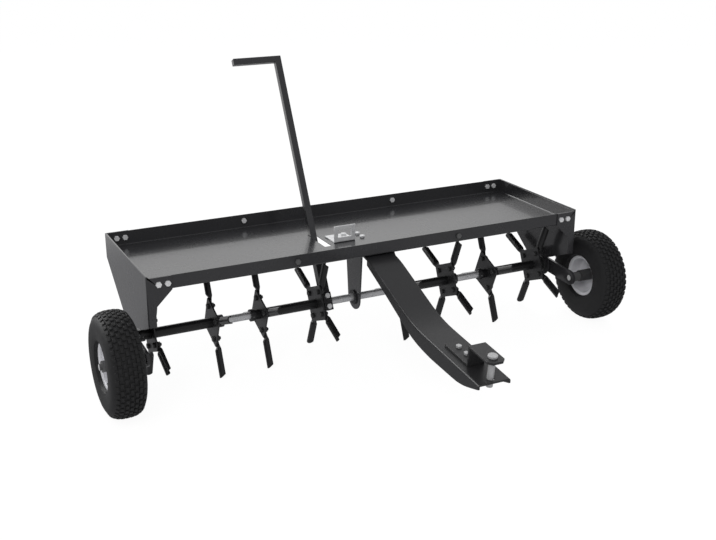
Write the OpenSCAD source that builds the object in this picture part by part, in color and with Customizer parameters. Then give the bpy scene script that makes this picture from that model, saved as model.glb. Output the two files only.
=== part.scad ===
// Tow behind lawn aerator: a sheet steel weight tray on two end plates, four free-turning gangs of
// plug spoons on a lift shaft, two pneumatic wheels on crank arms, a lift lever and a pin hitch.
// X runs along the tray, the hitch points to -Y, Z is up and the ground is at zero.

/* [Stance] */
// Height of the end plates' top edge above the ground
top_h = 336; // [310:1:360]
// Distance of the lift shaft behind the tray's front face
shaft_y = 138; // [120:1:170]

/* [Tray] */
// Length over both end plates
tray_l = 1220; // [1200:1:1400]
// Depth from front to back over the end plates' flanges
tray_d = 374; // [350:1:450]
// Height of the tray's walls
wall_h = 34; // [30:1:50]
// Thickness of the tray's sheet
sheet_t = 2; // [1.5:0.1:3]
// How far the end plates stand above the tray's walls
plate_rise = 5; // [1:0.5:10]

/* [End plates] */
// Thickness of an end plate
plate_t = 3; // [2:0.1:5]
// Height of an end plate's front edge
plate_front_h = 127; // [110:1:140]
// Height of an end plate's upright rear edge
plate_rear_h = 62; // [50:1:80]
// Radius of the rounded nose that holds the shaft bush
nose_r = 34; // [28:1:40]
// Width of the folded front flange below the tray
flange_w = 20; // [12:1:24]
// Width of the folded tabs that are bolted to the tray
tab_w = 62; // [56:1:80]
// Height over which the front tab tapers to the flange
gusset_h = 41; // [20:1:60]

/* [Fasteners] */
// Diameter of the frame bolts
bolt_d = 8; // [6:1:9]
// Diameter of the spoon bolts
spoon_bolt_d = 8; // [6:1:10]
// Distance from an end plate's outer face to the first corner bolt
corner_bolt_in = 29; // [24:1:32]
// Distance between the two bolts of a corner
corner_bolt_pitch = 22; // [18:1:24]
// Distance of a wall bolt from the middle of the tray
wall_bolt_x = 230; // [150:1:300]

/* [Lift shaft] */
// Diameter of the lift shaft
shaft_d = 20; // [16:0.5:22]
// Outer diameter of the shaft's bushes
bush_d = 28; // [26:0.5:32]
// Diameter of a bush's flange
bush_flange_d = 40; // [36:1:48]
// Thickness of a bush's flange
bush_flange_t = 4; // [2:0.5:6]
// How far a bush stands out of the end plate's outer face
bush_out = 3; // [1:0.5:5]

/* [Crank arms] */
// Distance between the shaft and a wheel's axle
arm_l = 122; // [110:1:150]
// Width of a crank arm
arm_w = 40; // [34:1:50]
// Thickness of a crank arm
arm_t = 8; // [5:0.5:10]
// Diameter of a wheel's axle
axle_d = 16; // [12:0.5:20]
// Diameter of the axle's shoulder
shoulder_d = 26; // [22:1:30]

/* [Wheels] */
// Diameter of a tyre
wheel_d = 258; // [240:1:270]
// Width of a tyre
tyre_w = 87; // [76:1:96]
// Clear distance between an end plate and a tyre
wheel_gap = 33; // [26:1:50]
// Diameter of the rim's bead seat
rim_d = 104; // [90:1:115]
// Height of the rim's flanges
rim_flange_h = 6; // [4:0.5:9]
// Width between the rim's flanges
rim_w = 56; // [50:1:62]
// Thickness of the rim's sheet
rim_t = 3; // [2:0.25:4]
// Thickness of a tyre's wall
tyre_wall = 8; // [6:0.5:11]
// Outer diameter of a wheel's hub
hub_d = 32; // [28:1:40]
// Length of a wheel's hub
hub_l = 59; // [54:1:66]
// How far a wheel's hub reaches out of the tyre's middle
hub_over = 21; // [19:0.5:23]
// Number of tread notches on each shoulder
tread_count = 36; // [16:1:40]
// Depth of the tread notches
tread_depth = 6; // [2:0.5:7]
// Width of the tread notches
tread_gap = 8; // [6:0.5:10]

/* [Gangs] */
// Distance from the tray's end to the outermost spoon wheel
gang_in = 39; // [36:1:56]
// Distance between the spoon wheels of neighbouring gangs on one side
gang_gap = 130; // [112:1:136]
// Distance between the two innermost spoon wheels
centre_gap = 242; // [236:1:248]
// Outer diameter of a gang's tube
tube_d = 26; // [25:0.5:30]
// How far a gang's tube stands out of its outer plates
tube_over = 14; // [10:0.5:22]
// Side of a square spoon plate
hub_side = 92; // [86:1:100]
// Thickness of a spoon plate
hub_t = 4; // [3:0.5:6]
// Radius of a spoon plate's trimmed corners
hub_corner_r = 63; // [58:1:66]
// Outer diameter of the collars that keep the gangs in place
collar_d = 32; // [28:0.5:36]
// Width of a collar
collar_w = 12; // [8:0.5:14]
// Diameter of a collar's set screw
collar_screw_d = 5; // [4:0.5:6]

/* [Spoons] */
// Radius of the circle on which the spoon tips turn
tip_r = 144; // [136:1:150]
// Width of a spoon
spoon_w = 20; // [16:1:22]
// Depth of a spoon's trough
spoon_depth = 14; // [11:1:16]
// Thickness of a spoon's steel
spoon_t = 3.5; // [2.5:0.25:4]
// Radius at which a spoon's shank starts
shank_in_r = 21; // [20:1:24]
// Radius at which a spoon's trough starts
trough_in_r = 68; // [64:1:80]
// Length over which a spoon's trough runs out into its shank
trough_run = 16; // [8:1:16]
// Radius of the spoon bolts' circle
spoon_bolt_r = 42; // [38:1:46]
// Length of the slanted cut at a spoon's tip
tip_cut = 10; // [4:1:16]

/* [Lever] */
// Lean of the lever to the rear, in degrees
lever_lean = 26.3; // [20:0.1:28]
// Length from the shaft's axis to the middle of the grip
lever_l = 669; // [560:1:720]
// Side of the lever's square bar
lever_s = 17; // [14:0.5:20]
// Length of the grip from the lever's axis
grip_l = 127; // [90:1:160]
// Swing of the lever from rest to its front stop, in degrees
lift_swing = 30; // [20:1:34]
// Thickness of the lever socket's wall
socket_t = 3; // [2:0.1:4]
// Height of the lever socket above the shaft's axis
socket_top = 136; // [110:1:140]
// Half height of the clamp around the shaft
clamp_half_h = 24; // [22:0.5:26]
// Half depth of the clamp around the shaft
clamp_half_d = 17; // [15:0.5:20]

/* [Centre hanger] */
// Width of the hanger's top plate along the drawbar
hanger_top_d = 112; // [104:1:130]
// Width of the hanger's top plate across the drawbar
hanger_top_w = 66; // [58:1:72]
// Width of the hanger at its top
hanger_w = 96; // [70:1:104]
// Thickness of the hanger
hanger_t = 4; // [3:0.5:6]
// Radius of the hanger's rounded lower end
hanger_nose_r = 34; // [26:1:38]
// Distance of the hanger's plate left of the tray's middle
hanger_in = 8; // [0:1:12]

/* [Drawbar] */
// Width of the drawbar
bar_w = 84; // [78:1:100]
// Thickness of the drawbar's plate
bar_t = 5; // [4:0.5:7]
// How far the drawbar reaches under the tray
bar_rear = 260; // [215:1:300]
// Distance of the first bend in front of the tray
bend_y = 235; // [180:1:280]
// Drop of the first bend
bend_drop = 96; // [60:1:110]
// Distance of the drawbar's front end in front of the tray
bar_front = 525; // [520:1:600]
// Drop of the drawbar's front end
front_drop = 131; // [110:1:150]
// Depth of the drawbar's side flanges at their deepest
bar_flange = 43; // [20:1:50]
// Depth of the drawbar's side flanges at the front end
bar_flange_front = 11; // [7:1:14]
// Depth of the drawbar's side flanges at the tray
bar_flange_rear = 22; // [8:1:26]
// Length of the slanted cut at the flanges' front end
bar_flange_cut = 70; // [40:1:90]
// Thickness of the drawbar's side flanges
bar_flange_t = 4; // [3:0.5:6]

/* [Tray bracket] */
// Width of the bracket on the tray's floor
bracket_w = 61; // [58:1:64]
// Length of the bracket on the tray's floor
bracket_l = 62; // [60:1:80]
// Height of the bracket's upright front
bracket_h = 45; // [30:1:60]
// Thickness of the bracket
bracket_t = 3; // [2:0.25:4]
// Width of the bracket's frame around its window
bracket_frame = 11; // [8:1:14]
// Distance of the bracket's right end from the tray's middle
bracket_in = 8; // [6:1:10]
// Distance between the drawbar bolts across the tray's middle
bar_bolt_w = 40; // [38:1:44]
// Distance between the drawbar bolts from front to back
bar_bolt_l = 30; // [24:1:32]
// Distance of the drawbar bolts' middle behind the tray's front face
bar_bolt_y = 163; // [156:1:170]

/* [Hitch] */
// Width of the hitch strap
strap_w = 45; // [38:1:60]
// Thickness of the hitch strap
strap_t = 6; // [4:0.5:8]
// Clear height of the hitch jaw
jaw_h = 46; // [40:1:60]
// Distance of the hitch strap's rear end in front of the tray
strap_rear = 352; // [340:1:356]
// Distance of the strap's upright in front of the tray
strap_rise_y = 450; // [440:1:455]
// Distance of the strap's front end in front of the tray
strap_front = 530; // [524:1:550]
// Size of the strap's trimmed front corners
strap_corner = 10; // [4:1:16]
// Distance of the hitch pin in front of the tray
pin_y = 507; // [490:1:509]
// Diameter of the hitch pin
pin_d = 16; // [12:0.5:19]
// Diameter of the hitch pin's head
pin_head_d = 23; // [20:1:34]
// Height of the hitch pin's head
pin_head_h = 6; // [5:0.5:12]
// How far the hitch pin reaches below the drawbar
pin_below = 16; // [8:1:24]
// Distance between the strap's two bolts
strap_bolt_pitch = 34; // [30:1:40]

/* [Hidden] */
$fn = 64;

// Clearances and the overrun of cuts
overrun = 1;
run_clear = 0.06;
fit_clear = 0.1;
hole_clear = 0.4;
side_clear = 0.4;
ground_clear = 0.6;
slot_clear = 1.2;

// Proportions of hexagon heads, nuts and flat washers to their bolt's diameter
head_af_share = 1.63;
head_h_share = 0.66;
nut_h_share = 0.8;
thread_over_share = 0.4;
washer_d_share = 1.7;
washer_t_share = 0.16;

// Wheels and gangs stand on the ground
spoon_turn = 22.5;
quarter = 90;
wheel_r = wheel_d / 2;
shaft_h = tip_r * cos(spoon_turn) + spoon_w / 2 * sin(spoon_turn) + ground_clear;
arm_drop = asin((shaft_h - wheel_r) / arm_l);
wheel_y = shaft_y - arm_l * cos(arm_drop);
wheel_x = tray_l / 2 + wheel_gap + tyre_w / 2;

// Tray
tray_top = top_h - plate_rise;
tray_bottom = tray_top - wall_h;
tray_floor = tray_bottom + sheet_t;
tray_in_l = tray_l - 2 * plate_t;
tray_front = plate_t;
tray_back = tray_d - plate_t;
front_bolt_z = tray_top - wall_h / 2;
rear_bolt_z = top_h - wall_h / 2;
rear_wall_h = top_h - tray_bottom;

// End plate
nose_meet_share = 0.4;
plate_low = top_h - plate_front_h;

// Crank arms, axles and wheels along X
arm_in = tray_l / 2 + bush_out + side_clear;
arm_out = arm_in + arm_t;
hub_out = wheel_x + hub_over;
hub_in = hub_out - hub_l;
axle_washer_t = axle_d * washer_t_share;
axle_nut_h = axle_d * nut_h_share;
axle_tip = axle_d * thread_over_share;
axle_end = hub_out + side_clear + axle_washer_t + axle_nut_h + axle_tip;

// Rim and tyre cross sections
rim_r = rim_d / 2;
rim_dish_share = 0.16;
tyre_power = 2.7;
tyre_steps = 36;
tyre_mid_r = (rim_r + wheel_r) / 2;
tyre_half_h = (wheel_r - rim_r) / 2;
tyre_low_share = 1.2;
tyre_low_h = tyre_half_h * tyre_low_share;
groove_x_share = 0.17;
groove_w_share = 0.07;
notch_in_share = 0.25;
valve_d = 8;
valve_l = 22;
valve_foot_d = 14;
valve_foot_t = 3;
valve_cap_d = 9.6;
valve_cap_l = 8;
valve_x = wheel_x + rim_w / 2 - valve_foot_d / 2 - side_clear;
valve_r = sqrt(pow(rim_r - rim_t, 2) - pow(valve_foot_d / 2, 2)) - fit_clear;

// Gangs from left to right, and the lean of each one's left spoon wheel
gang_pitch = (tray_l / 2 - gang_in - gang_gap - centre_gap / 2) / 2;
gang_mid = centre_gap / 2 + gang_pitch / 2;
gang_step = gang_pitch + gang_gap;
gang_x = [-gang_mid - gang_step, -gang_mid, gang_mid, gang_mid + gang_step];
gang_lean = [-1, 1, 1, 1];
tube_l = gang_pitch + hub_t + 2 * tube_over;
spoons_per_wheel = 4;
collar_off = tube_l / 2 + side_clear;

// Lever
socket_in = lever_s + 2 * fit_clear;
socket_out = socket_in + 2 * socket_t;
lever_x = gang_x[1] + collar_off + socket_out / 2;
lever_bar_in = clamp_half_h + side_clear;
clamp_split = 0.5;
clamp_bolt_z = shaft_d / 2 + bolt_d / 2 + hole_clear;
lever_bolt_share = 0.8;
lever_bolt_z = socket_top * lever_bolt_share;
floor_rise = tray_floor - shaft_h;
slot_half = lever_s / 2 + slot_clear;
slot_rear = shaft_y + floor_rise * tan(lever_lean) + lever_s / 2 / cos(lever_lean) + slot_clear;
front_lean = lift_swing - lever_lean;
slot_front = shaft_y - floor_rise * tan(front_lean) - lever_s / 2 / cos(front_lean) - slot_clear;

// Drawbar and hitch
bar_top = tray_bottom;
bend_z = bar_top - bend_drop;
front_fall = (front_drop - bend_drop) / (bar_front - bend_y);
front_tilt = atan(front_fall);
flange_up_y_share = 0.42;
flange_up_share = 0.6;
flange_bend_share = 0.85;
flange_deep_share = 0.26;
flange_front_share = 0.87;
flange_deep_y = bend_y + (bar_front - bend_y) * flange_deep_share;
bar_drop_t = bar_t / cos(front_tilt);
strap_bolt_y = (strap_rear + strap_rise_y - strap_t) / 2 - strap_corner / 2;
pin_l = strap_t + jaw_h + bar_t + pin_below;
pin_hole_d = pin_d + 2 * hole_clear;

// Height of the drawbar's top at a distance in front of the tray, past its bend
function front_z(y) = bend_z - (y - bend_y) * front_fall;
// Distance along the drawbar's sloping front from the pin back to a distance in front of the tray
function behind_pin(y) = (pin_y - y) / cos(front_tilt);

// Middle of the whole machine from front to back
strap_tip = strap_front + (jaw_h + strap_t) * sin(front_tilt);
y_front = -max(strap_tip, bar_front);
y_rear = shaft_y + lever_s / 2 * cos(lever_lean) + (lever_l + lever_s / 2) * sin(lever_lean);
y_mid = (y_front + y_rear) / 2;

// Colours
black_paint = [0.09, 0.09, 0.1];
satin_paint = [0.14, 0.14, 0.15];
zinc = [0.78, 0.79, 0.8];
rubber = [0.1, 0.1, 0.1];
rim_grey = [0.52, 0.52, 0.55];
nylon = [0.2, 0.2, 0.21];

// Moves the machine so that the middle of its footprint is at the origin
module place() {
    translate([0, -y_mid, 0]) children();
}

// Turns a drawing so that its axis runs along X or along Y
module along_x() {
    rotate([0, quarter, 0]) children();
}
module along_y() {
    rotate([-quarter, 0, 0]) children();
}

// Extrudes an outline drawn in Y and Z along X, and one drawn in X and Z along Y
module slab_x(from, thick) {
    translate([from, 0, 0]) rotate([quarter, 0, quarter]) linear_extrude(height = thick) children();
}
module slab_y(from, thick) {
    translate([0, from + thick, 0]) rotate([quarter, 0, 0]) linear_extrude(height = thick) children();
}

// Draws a piece on the right side, or its mirror image on the left side
module on_side(side) {
    mirror([side < 0 ? 1 : 0, 0, 0]) children();
}

// Moves a drawing to the lift shaft's axis
module at_shaft() {
    translate([0, shaft_y, shaft_h]) children();
}

// Sizes of hexagon heads and nuts
function hex_d(d) = d * head_af_share / cos(30);
function head_h(d) = d * head_h_share;
function nut_h(d) = d * nut_h_share;
function bolt_l(d, grip) = grip + nut_h(d) + d * thread_over_share;

// A hexagon bolt whose head sits under the plane z = 0 and clamps upwards
module hex_bolt(d, grip) {
    translate([0, 0, -head_h(d)]) cylinder(d = hex_d(d), h = head_h(d), $fn = 6);
    cylinder(d = d, h = bolt_l(d, grip));
}

// A hexagon nut seated at the far end of the grip
module hex_nut(d, grip) {
    translate([0, 0, grip]) difference() {
        cylinder(d = hex_d(d), h = nut_h(d), $fn = 6);
        translate([0, 0, -overrun]) cylinder(d = d + 2 * fit_clear, h = nut_h(d) + 2 * overrun);
    }
}

// A hole for a bolt, cut through everything up to the depth
module bolt_hole(d, depth) {
    translate([0, 0, -overrun]) cylinder(d = d + hole_clear, h = depth + 2 * overrun);
}

// Places of the bolts along the tray's walls
corner_x = [for (side = [-1, 1], i = [0, 1]) side * (tray_l / 2 - corner_bolt_in - i * corner_bolt_pitch)];
wall_x = [-wall_bolt_x, wall_bolt_x];

module at_wall(xs, y) {
    z = y < tray_d / 2 ? front_bolt_z : rear_bolt_z;
    for (x = xs) translate([x, y, z]) along_y() children();
}

// Places of the four bolts that hold tray, drawbar and hanger together
module at_bar_bolts(z) {
    for (x = [-1, 1], y = [-1, 1])
        translate([x * bar_bolt_w / 2, bar_bolt_y + y * bar_bolt_l / 2, z]) children();
}

// Base of the sheet pan, with holes for the drawbar's bolts and a slot for the lever
module tray_base() {
    color(black_paint) difference() {
        translate([-tray_in_l / 2, tray_front, tray_bottom])
            cube([tray_in_l, tray_back - tray_front, sheet_t]);
        at_bar_bolts(tray_bottom) bolt_hole(bolt_d, sheet_t);
        translate([lever_x - slot_half, slot_front, tray_bottom - overrun])
            cube([2 * slot_half, slot_rear - slot_front, sheet_t + 2 * overrun]);
    }
}

// Walls of the sheet pan: a higher one at the rear, and holes for the bolts
module tray_walls() {
    end_front = tray_front + sheet_t + fit_clear;
    end_rear = tray_back - sheet_t - fit_clear;
    color(black_paint) difference() {
        union() {
            translate([-tray_in_l / 2, tray_front, tray_floor])
                cube([tray_in_l, sheet_t, tray_top - tray_floor]);
            translate([-tray_in_l / 2, tray_back - sheet_t, tray_floor])
                cube([tray_in_l, sheet_t, top_h - tray_floor]);
            for (side = [-1, 1]) on_side(side) translate([tray_in_l / 2 - sheet_t, end_front, tray_floor])
                cube([sheet_t, end_rear - end_front, tray_top - tray_floor]);
        }
        at_wall(concat(corner_x, wall_x), tray_front) bolt_hole(bolt_d, sheet_t);
        at_wall(concat(corner_x, wall_x), tray_back - sheet_t) bolt_hole(bolt_d, sheet_t);
    }
}

// Outline of an end plate, with a nose around the shaft
module plate_outline() {
    nose_low = [shaft_y, shaft_h + nose_r * nose_meet_share];
    rear_tilt = atan2(top_h - plate_rear_h - shaft_h, tray_d - shaft_y);
    reach = norm([tray_d - shaft_y, top_h - plate_rear_h - shaft_h]);
    touch = rear_tilt - acos(nose_r / reach);
    polygon([
        [0, plate_low],
        [0, top_h],
        [tray_d, top_h],
        [tray_d, top_h - plate_rear_h],
        [shaft_y + nose_r * cos(touch), shaft_h + nose_r * sin(touch)],
        [shaft_y, shaft_h],
        nose_low
    ]);
    translate([shaft_y, shaft_h]) circle(r = nose_r);
}

// End plate with a front flange that widens to a bolted tab, and a bolted rear tab
module end_plate(side) {
    outer = tray_l / 2;
    color(black_paint) on_side(side) difference() {
        union() {
            slab_x(outer - plate_t, plate_t) plate_outline();
            slab_y(0, plate_t) polygon([
                [outer - plate_t / 2, plate_low],
                [outer - flange_w, plate_low],
                [outer - flange_w, tray_bottom - gusset_h],
                [outer - tab_w, tray_bottom],
                [outer - tab_w, tray_top],
                [outer - plate_t / 2, tray_top]
            ]);
            translate([outer - tab_w, tray_back, tray_bottom])
                cube([tab_w - plate_t / 2, plate_t, rear_wall_h]);
        }
        at_wall(corner_x, 0) bolt_hole(bolt_d, plate_t);
        at_wall(corner_x, tray_back) bolt_hole(bolt_d, plate_t);
        at_shaft() translate([outer - plate_t - overrun, 0, 0]) along_x()
            cylinder(d = bush_d + 2 * fit_clear, h = plate_t + 2 * overrun);
    }
}
module left_end_plate() {
    end_plate(-1);
}
module right_end_plate() {
    end_plate(1);
}

// Bolts of the four tray corners, heads to the front
module corner_bolts() {
    color(zinc) {
        at_wall(corner_x, 0) hex_bolt(bolt_d, plate_t + sheet_t);
        at_wall(corner_x, tray_back - sheet_t) hex_bolt(bolt_d, plate_t + sheet_t);
    }
}
module corner_nuts() {
    color(zinc) {
        at_wall(corner_x, 0) hex_nut(bolt_d, plate_t + sheet_t);
        at_wall(corner_x, tray_back - sheet_t) hex_nut(bolt_d, plate_t + sheet_t);
    }
}

// Single bolts halfway along each half of the long walls, heads to the front
module wall_bolts() {
    color(zinc) {
        at_wall(wall_x, tray_front) hex_bolt(bolt_d, sheet_t);
        at_wall(wall_x, tray_back - sheet_t) hex_bolt(bolt_d, sheet_t);
    }
}
module wall_nuts() {
    color(zinc) {
        at_wall(wall_x, tray_front) hex_nut(bolt_d, sheet_t);
        at_wall(wall_x, tray_back - sheet_t) hex_nut(bolt_d, sheet_t);
    }
}

// Drawbar: one bent plate with tapered side flanges, bolted under the tray
bar_line = [
    [bar_rear, bar_top],
    [0, bar_top],
    [-bend_y, bend_z],
    [-bar_front, front_z(bar_front)]
];
flange_line = [
    [0, bar_top],
    [-bend_y, bend_z],
    [-bar_front, front_z(bar_front)],
    [-bar_front, front_z(bar_front) - bar_flange_front],
    [bar_flange_cut - bar_front, front_z(bar_front - bar_flange_cut) - bar_flange * flange_front_share],
    [-flange_deep_y, front_z(flange_deep_y) - bar_flange],
    [-bend_y, bend_z - bar_flange * flange_bend_share],
    [-bend_y * flange_up_y_share, bar_top - bend_drop * flange_up_y_share - bar_flange * flange_up_share],
    [0, bar_top - bar_flange_rear]
];
module drawbar() {
    under = [for (i = [len(bar_line) - 1:-1:0]) bar_line[i] - [0, i > 1 ? bar_drop_t : bar_t]];
    color(satin_paint) difference() {
        union() {
            slab_x(-bar_w / 2, bar_w) polygon(concat(bar_line, under));
            for (side = [-1, 1])
                on_side(side) slab_x(bar_w / 2 - bar_flange_t, bar_flange_t) polygon(flange_line);
        }
        at_bar_bolts(bar_top - bar_t) bolt_hole(bolt_d, bar_t);
        at_strap_bolts(-bar_t) bolt_hole(bolt_d, bar_t);
        at_hitch(-bar_t) bolt_hole(pin_hole_d, bar_t);
    }
}

// Zinc angle on the tray's floor beside the lever, with a window in its upright front
module tray_bracket() {
    left = -bracket_in - bracket_w;
    front = bar_bolt_y - bracket_l / 2;
    window = bracket_h - bracket_t - 2 * bracket_frame;
    color(zinc) difference() {
        translate([left, front, tray_floor]) cube([bracket_w, bracket_l, bracket_h]);
        translate([left - overrun, front + bracket_t, tray_floor + bracket_t])
            cube([bracket_w + 2 * overrun, bracket_l, bracket_h]);
        translate([left + bracket_frame, front - overrun, tray_floor + bracket_t + bracket_frame])
            cube([bracket_w - 2 * bracket_frame, bracket_t + 2 * overrun, window]);
        at_bar_bolts(tray_floor) bolt_hole(bolt_d, bracket_t);
    }
}

// Hanger that carries the middle of the shaft under the drawbar
hanger_z = bar_top - bar_t;
hanger_top_y = (shaft_y + bar_bolt_y) / 2;
module centre_hanger() {
    color(black_paint) difference() {
        union() {
            translate([-hanger_top_w / 2, hanger_top_y - hanger_top_d / 2, hanger_z - hanger_t])
                cube([hanger_top_w, hanger_top_d, hanger_t]);
            slab_x(-hanger_in - hanger_t / 2, hanger_t) {
                polygon([
                    [shaft_y - hanger_w / 2, hanger_z - hanger_t],
                    [shaft_y + hanger_w / 2, hanger_z - hanger_t],
                    [shaft_y + hanger_nose_r, shaft_h],
                    [shaft_y - hanger_nose_r, shaft_h]
                ]);
                translate([shaft_y, shaft_h]) circle(r = hanger_nose_r);
            }
        }
        at_bar_bolts(hanger_z - hanger_t) bolt_hole(bolt_d, hanger_t);
        at_shaft() translate([-hanger_in - hanger_t / 2 - overrun, 0, 0]) along_x()
            cylinder(d = bush_d + 2 * fit_clear, h = hanger_t + 2 * overrun);
    }
}

// Bolts through tray, drawbar and hanger, heads up; the left pair holds the bracket too
bar_grip = sheet_t + bar_t + hanger_t;
module on_bar_bolts() {
    for (x = [-1, 1], y = [-1, 1]) {
        on_bracket = x < 0 ? bracket_t : 0;
        $grip = bar_grip + on_bracket;
        translate([x * bar_bolt_w / 2, bar_bolt_y + y * bar_bolt_l / 2, tray_floor + on_bracket])
            rotate([2 * quarter, 0, 0]) children();
    }
}
module drawbar_bolts() {
    color(zinc) on_bar_bolts() hex_bolt(bolt_d, $grip);
}
module drawbar_nuts() {
    color(zinc) on_bar_bolts() hex_nut(bolt_d, $grip);
}

// Places of the strap's bolts on the sloping front of the drawbar, at a height above its top
module at_strap_bolts(z) {
    for (y = [-1, 1]) {
        at = strap_bolt_y + y * strap_bolt_pitch / 2;
        translate([0, -at, front_z(at)]) rotate([front_tilt, 0, 0]) translate([0, 0, z]) children();
    }
}

// Moves a drawing to the hitch pin's axis, square to the drawbar and at a height above its top
module at_hitch(z) {
    translate([0, -pin_y, front_z(pin_y)]) rotate([front_tilt, 0, 0]) translate([0, 0, z]) children();
}

// Offset strap on the drawbar: its ear is the upper half of the hitch jaw
module hitch_strap() {
    rear = behind_pin(strap_rear);
    rise = behind_pin(strap_rise_y);
    front = behind_pin(strap_front);
    side = strap_w / 2;
    color(satin_paint) difference() {
        at_hitch(0) {
            slab_x(-side, strap_w) polygon([
                [rear, 0],
                [rear, strap_t],
                [rise + strap_t, strap_t],
                [rise + strap_t, jaw_h + strap_t],
                [rise, jaw_h + strap_t],
                [rise, 0]
            ]);
            translate([0, 0, jaw_h]) linear_extrude(height = strap_t) polygon([
                [-side, rise + strap_t],
                [-side, strap_corner + front],
                [strap_corner - side, front],
                [side - strap_corner, front],
                [side, strap_corner + front],
                [side, rise + strap_t]
            ]);
        }
        at_strap_bolts(0) bolt_hole(bolt_d, strap_t);
        at_hitch(jaw_h) bolt_hole(pin_hole_d, strap_t);
    }
}

// Bolts and nuts that hold the strap on the drawbar, heads up
module strap_bolts() {
    color(zinc) at_strap_bolts(strap_t) rotate([2 * quarter, 0, 0]) {
        hex_bolt(bolt_d, strap_t + bar_t);
        hex_nut(bolt_d, strap_t + bar_t);
    }
}

// Flanged bush that guides the shaft in an end plate
module end_bush(side) {
    start = tray_l / 2 - plate_t - bush_flange_t;
    sleeve_l = bush_flange_t + plate_t + bush_out;
    color(nylon) on_side(side) at_shaft() translate([start, 0, 0]) along_x() difference() {
        union() {
            cylinder(d = bush_flange_d, h = bush_flange_t);
            cylinder(d = bush_d, h = sleeve_l);
        }
        translate([0, 0, -overrun]) cylinder(d = shaft_d + 2 * run_clear, h = sleeve_l + 2 * overrun);
    }
}
module left_bush() {
    end_bush(-1);
}
module right_bush() {
    end_bush(1);
}

// Flanged bush that guides the shaft in the centre hanger
module hanger_bush() {
    sleeve_l = bush_flange_t + hanger_t + bush_out;
    color(nylon) at_shaft() translate([-hanger_in - hanger_t / 2 - bush_flange_t, 0, 0]) along_x() difference() {
        union() {
            cylinder(d = bush_flange_d, h = bush_flange_t);
            cylinder(d = bush_d, h = sleeve_l);
        }
        translate([0, 0, -overrun]) cylinder(d = shaft_d + 2 * run_clear, h = sleeve_l + 2 * overrun);
    }
}

// Lift shaft from one crank arm to the other
module lift_shaft() {
    color(zinc) at_shaft() translate([-arm_out, 0, 0]) along_x() cylinder(d = shaft_d, h = 2 * arm_out);
}

// Places of the collars at the ends of the gangs; the lever's clamp takes the place of one
module at_collars() {
    for (g = [0:len(gang_x) - 1], end = [-1, 1])
        if (!(g == 1 && end == 1))
            at_shaft() translate([gang_x[g] + end * (collar_off + collar_w / 2), 0, 0]) children();
}
module shaft_collars() {
    color(satin_paint) at_collars() difference() {
        along_x() cylinder(d = collar_d, h = collar_w, center = true);
        along_x() cylinder(d = shaft_d + 2 * fit_clear, h = collar_w + 2 * overrun, center = true);
        rotate([quarter, 0, 0]) cylinder(d = collar_screw_d + 2 * fit_clear, h = collar_d);
    }
}

// Set screw of each collar, flush with the collar's front
module collar_screws() {
    color(zinc) at_collars() rotate([quarter, 0, 0]) translate([0, 0, shaft_d / 2])
        cylinder(d = collar_screw_d, h = (collar_d - shaft_d) / 2);
}

// Crank arm from the shaft's end to a wheel's axle
module crank_arm(side) {
    color(black_paint) on_side(side) at_shaft() rotate([arm_drop, 0, 0]) translate([arm_in, 0, 0])
        difference() {
            union() {
                along_x() cylinder(d = arm_w, h = arm_t);
                translate([0, -arm_l, 0]) along_x() cylinder(d = arm_w, h = arm_t);
                translate([0, -arm_l, -arm_w / 2]) cube([arm_t, arm_l, arm_w]);
            }
            translate([-overrun, 0, 0]) along_x()
                cylinder(d = shaft_d + 2 * fit_clear, h = arm_t + 2 * overrun);
            translate([-overrun, -arm_l, 0]) along_x()
                cylinder(d = axle_d + 2 * fit_clear, h = arm_t + 2 * overrun);
        }
}
module left_arm() {
    crank_arm(-1);
}
module right_arm() {
    crank_arm(1);
}

// Wheel axle with a shoulder against the crank arm
module at_axle(side, x) {
    on_side(side) translate([x, wheel_y, wheel_r]) along_x() children();
}
module axle(side) {
    color(zinc) {
        at_axle(side, arm_in) cylinder(d = axle_d, h = axle_end - arm_in);
        at_axle(side, arm_out) cylinder(d = shoulder_d, h = hub_in - side_clear - arm_out);
    }
}
module left_axle() {
    axle(-1);
}
module right_axle() {
    axle(1);
}
module axle_washers() {
    color(zinc) for (side = [-1, 1]) at_axle(side, hub_out + side_clear) difference() {
        cylinder(d = axle_d * washer_d_share, h = axle_washer_t);
        translate([0, 0, -overrun]) cylinder(d = axle_d + 2 * fit_clear, h = axle_washer_t + 2 * overrun);
    }
}
module axle_nuts() {
    color(zinc) for (side = [-1, 1]) at_axle(side, hub_out + side_clear + axle_washer_t) hex_nut(axle_d, 0);
}

// Lift lever, drawn upright at the shaft's axis and then leaned back
module at_lever() {
    translate([lever_x, 0, 0]) at_shaft() rotate([-lever_lean, 0, 0]) children();
}
module lever() {
    color(black_paint) at_lever() difference() {
        union() {
            translate([-lever_s / 2, -lever_s / 2, lever_bar_in])
                cube([lever_s, lever_s, lever_l + lever_s / 2 - lever_bar_in]);
            translate([-grip_l, -lever_s / 2, lever_l - lever_s / 2])
                cube([grip_l + lever_s / 2, lever_s, lever_s]);
        }
        translate([0, -lever_s / 2, lever_bolt_z]) along_y() bolt_hole(bolt_d, lever_s);
    }
}

// Half of the clamp block around the shaft, on the side that is asked for
module clamp_half(side) {
    difference() {
        mirror([0, side < 0 ? 1 : 0, 0]) translate([-socket_out / 2, clamp_split, -clamp_half_h])
            cube([socket_out, clamp_half_d - clamp_split, 2 * clamp_half_h]);
        translate([-socket_out / 2 - overrun, 0, 0]) along_x()
            cylinder(d = shaft_d + 2 * fit_clear, h = socket_out + 2 * overrun);
        for (z = [-clamp_bolt_z, clamp_bolt_z])
            translate([0, -clamp_half_d, z]) along_y() bolt_hole(bolt_d, 2 * clamp_half_d);
    }
}

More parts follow.
